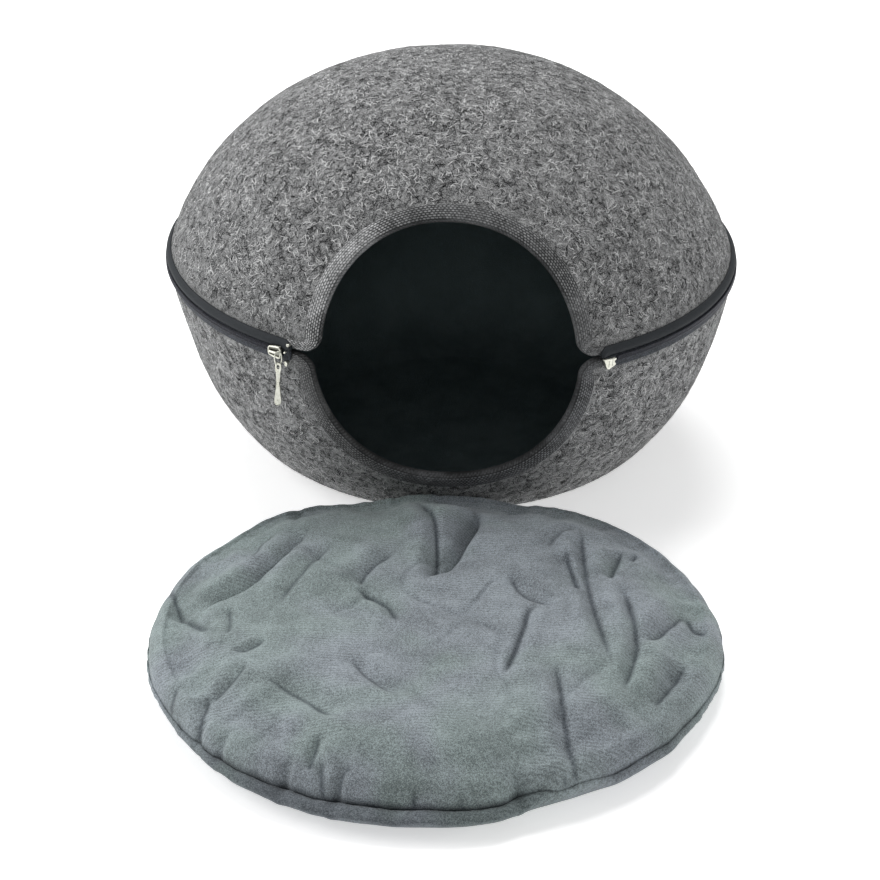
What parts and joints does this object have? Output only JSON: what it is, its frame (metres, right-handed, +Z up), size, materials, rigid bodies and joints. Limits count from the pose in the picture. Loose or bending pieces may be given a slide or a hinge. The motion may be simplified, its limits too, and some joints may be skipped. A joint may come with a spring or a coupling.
{
  "type": "felt cat cave",
  "caption": "Zip-waisted felt pet pod with a round bound doorway, and its round filled plush cushion laid in front.",
  "frame": {"origin": "centre of the pod's flat base, on the floor", "axes": "+Z up, the doorway and the cushion towards -Y, +X to the right seen from the front"},
  "size_m": [0.5035, 0.8616, 0.3497],
  "materials": {
    "felt": "matt mottled grey felt",
    "lining": "matt black felt",
    "binding": "woven grey herringbone tape",
    "zip_tape": "smooth dark navy woven tape",
    "zip_coil": "dark nylon coil",
    "zip_metal": "bright nickel plate",
    "plush": "soft short-pile blue-grey plush"
  },
  "bodies": {
    "root": {"upper_shell": "felt", "lower_shell": "felt", "upper_lining": "lining", "lower_lining": "lining", "upper_binding": "binding", "lower_binding": "binding", "upper_zip_tape": "zip_tape", "lower_zip_tape": "zip_tape", "zip_coil": "zip_coil", "zip_slider": "zip_metal", "zip_link": "zip_metal", "zip_pull": "zip_metal", "zip_box": "zip_metal", "zip_clip_top": "zip_metal", "zip_clip_middle": "zip_metal", "zip_clip_bottom": "zip_metal", "cushion": "plush"}
  },
  "joints": []
}
